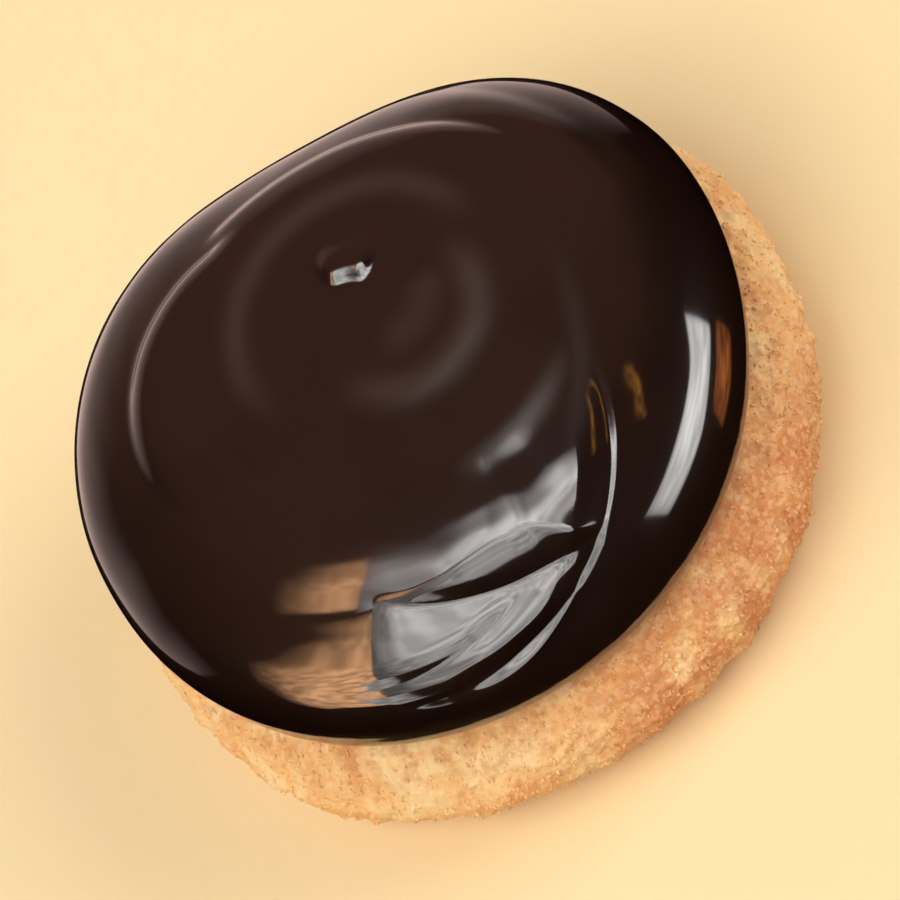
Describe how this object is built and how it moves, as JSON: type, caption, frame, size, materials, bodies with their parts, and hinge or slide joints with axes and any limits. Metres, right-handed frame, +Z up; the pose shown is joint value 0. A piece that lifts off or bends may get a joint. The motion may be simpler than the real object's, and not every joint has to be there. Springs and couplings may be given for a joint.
{
  "type": "chocolate glazed doughnut",
  "caption": "Round doughnut without a hole: pale baked dough with a rough side under a thick, glossy, swirled cap of dark chocolate icing.",
  "frame": {"origin": "middle of the underside of the doughnut's box, on the surface it rests on", "axes": "+Z up through the icing, -Y the front that the picture's lower right side shows, +X to the right of that front"},
  "size_m": [0.0914, 0.089, 0.0417],
  "materials": {
    "baked_dough": "pale golden baked dough with a dry, finely crumbed and slightly flaky surface",
    "dark_chocolate_icing": "smooth dark chocolate icing, set with a wet gloss"
  },
  "bodies": {
    "root": {"dough": "baked_dough", "chocolate_icing": "dark_chocolate_icing"}
  },
  "joints": []
}
